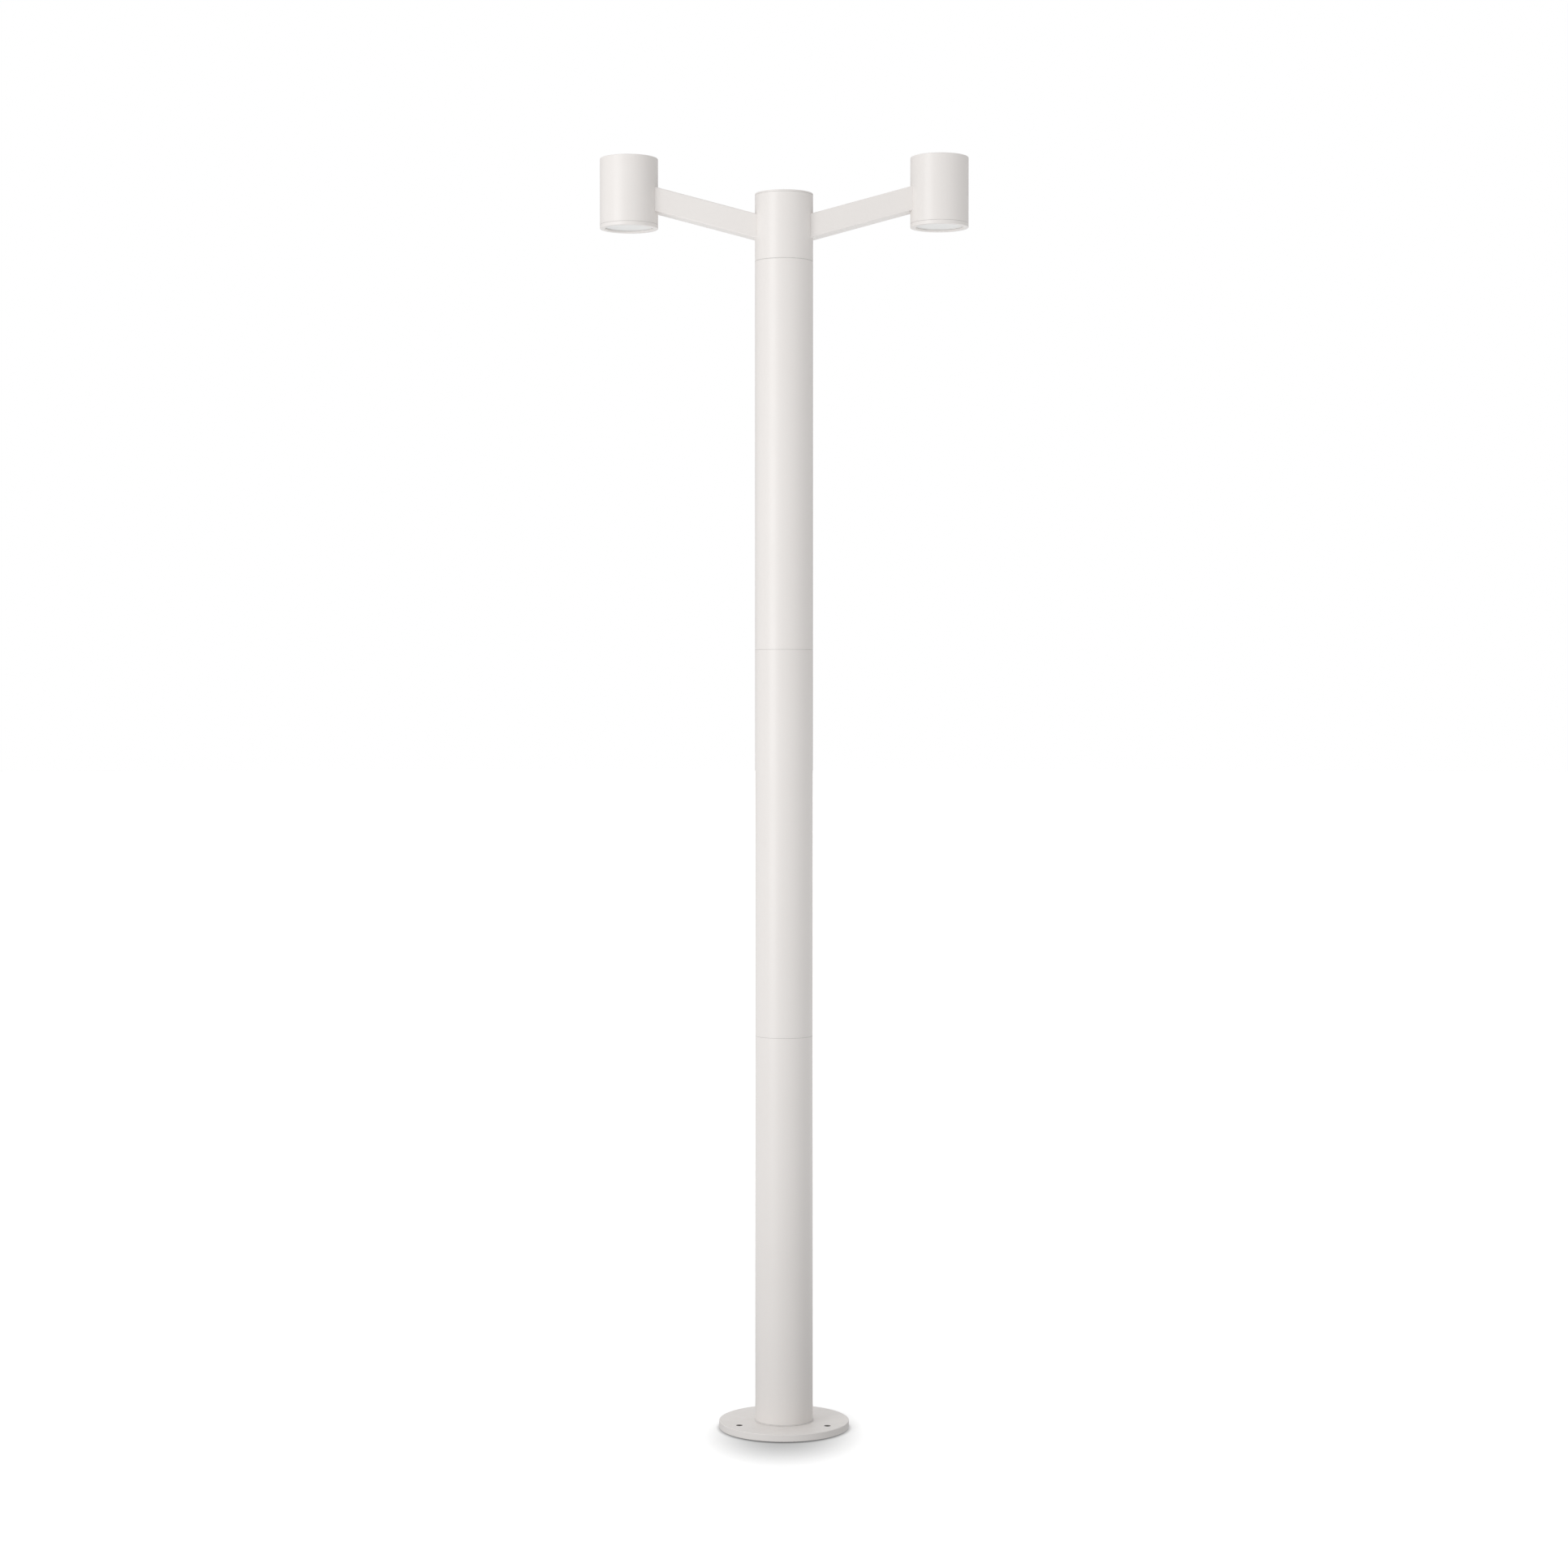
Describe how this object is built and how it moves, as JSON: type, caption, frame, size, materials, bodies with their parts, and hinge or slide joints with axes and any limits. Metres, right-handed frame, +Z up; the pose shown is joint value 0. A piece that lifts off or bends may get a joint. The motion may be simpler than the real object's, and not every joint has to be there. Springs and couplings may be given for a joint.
{
  "type": "twin-head lamp post",
  "caption": "Outdoor lamp post: a sectional round pole on a bolt-down foot plate, with a turning hub whose sloped square arms carry cylindrical downlights.",
  "frame": {"origin": "centre of the foot plate's underside, on the floor", "axes": "+Z up along the pole, the arms along X, +Y towards the service side where the fixing screws are"},
  "size_m": [0.634, 0.225, 2.1912],
  "materials": {
    "powder_coat": "semi-matt light grey powder coat, fine texture",
    "sleeve_metal": "turned",
    "screw_steel": "zinc plated",
    "seal_rubber": "matt grey",
    "nylon": "natural nylon",
    "terminal_plastic": "moulded",
    "holder_ceramic": "unglazed ceramic",
    "lamp_plastic": "moulded lamp body with a clear face",
    "reflector_metal": "satin anodised",
    "lens_glass": "frosted",
    "brass": "plain"
  },
  "bodies": {
    "post": {"foot_plate": "powder_coat", "foot_seal": "seal_rubber", "foot_spigot": "sleeve_metal", "foot_screws": "screw_steel", "pole_screws": "screw_steel", "pole_section_1": "powder_coat", "pole_section_2": "powder_coat", "pole_section_3": "powder_coat", "pole_coupler_1": "sleeve_metal", "pole_coupler_2": "sleeve_metal", "hub_spigot": "sleeve_metal", "terminal_block": "terminal_plastic", "terminal_screws": "screw_steel", "earth_stud": "brass", "hub_washer": "nylon"},
    "crosshead": {"hub_tube": "powder_coat", "hub_grub_screws": "screw_steel", "hub_cap": "powder_coat", "hub_cap_seal": "seal_rubber", "hub_cap_screw": "screw_steel", "arm_left": "powder_coat", "arm_right": "powder_coat", "arm_screws": "screw_steel", "lead_glands": "seal_rubber", "head_shell_left": "powder_coat", "head_shell_right": "powder_coat", "lampholder_bracket_left": "screw_steel", "lampholder_bracket_right": "screw_steel", "bracket_screws": "screw_steel", "lampholder_left": "holder_ceramic", "lampholder_right": "holder_ceramic", "holder_screws": "screw_steel", "lamp_left": "lamp_plastic", "lamp_right": "lamp_plastic", "reflector_left": "reflector_metal", "reflector_right": "reflector_metal", "reflector_screws": "screw_steel"},
    "left_lens": {"lens_left": "lens_glass"},
    "left_ring": {"lens_ring_left": "powder_coat", "lens_gasket_left": "seal_rubber", "lens_clip_left": "screw_steel", "ring_seal_left": "seal_rubber"},
    "right_lens": {"lens_right": "lens_glass"},
    "right_ring": {"lens_ring_right": "powder_coat", "lens_gasket_right": "seal_rubber", "lens_clip_right": "screw_steel", "ring_seal_right": "seal_rubber"}
  },
  "joints": [
    {"name": "crosshead_turn", "type": "hinge", "parent": "post", "child": "crosshead", "pos_m": [0, 0, 2.014], "axis": [0, 0, 1], "range_deg": [-175, 175]},
    {"name": "left_lens_drop", "type": "slide", "parent": "crosshead", "child": "left_lens", "axis": [0, 0, -1], "range_m": [0, 0.006]},
    {"name": "left_ring_unscrew", "type": "hinge", "parent": "left_lens", "child": "left_ring", "pos_m": [-0.267, 0, 2.07125], "axis": [0, 0, -1], "range_deg": [0, 1440]},
    {"name": "right_lens_drop", "type": "slide", "parent": "crosshead", "child": "right_lens", "axis": [0, 0, -1], "range_m": [0, 0.006]},
    {"name": "right_ring_unscrew", "type": "hinge", "parent": "right_lens", "child": "right_ring", "pos_m": [0.267, 0, 2.07125], "axis": [0, 0, -1], "range_deg": [0, 1440]}
  ],
  "couplings": [
    {"joint": "left_lens_drop", "follows": "left_ring_unscrew", "m_per_rad": 0.00023873},
    {"joint": "right_lens_drop", "follows": "right_ring_unscrew", "m_per_rad": 0.00023873}
  ]
}
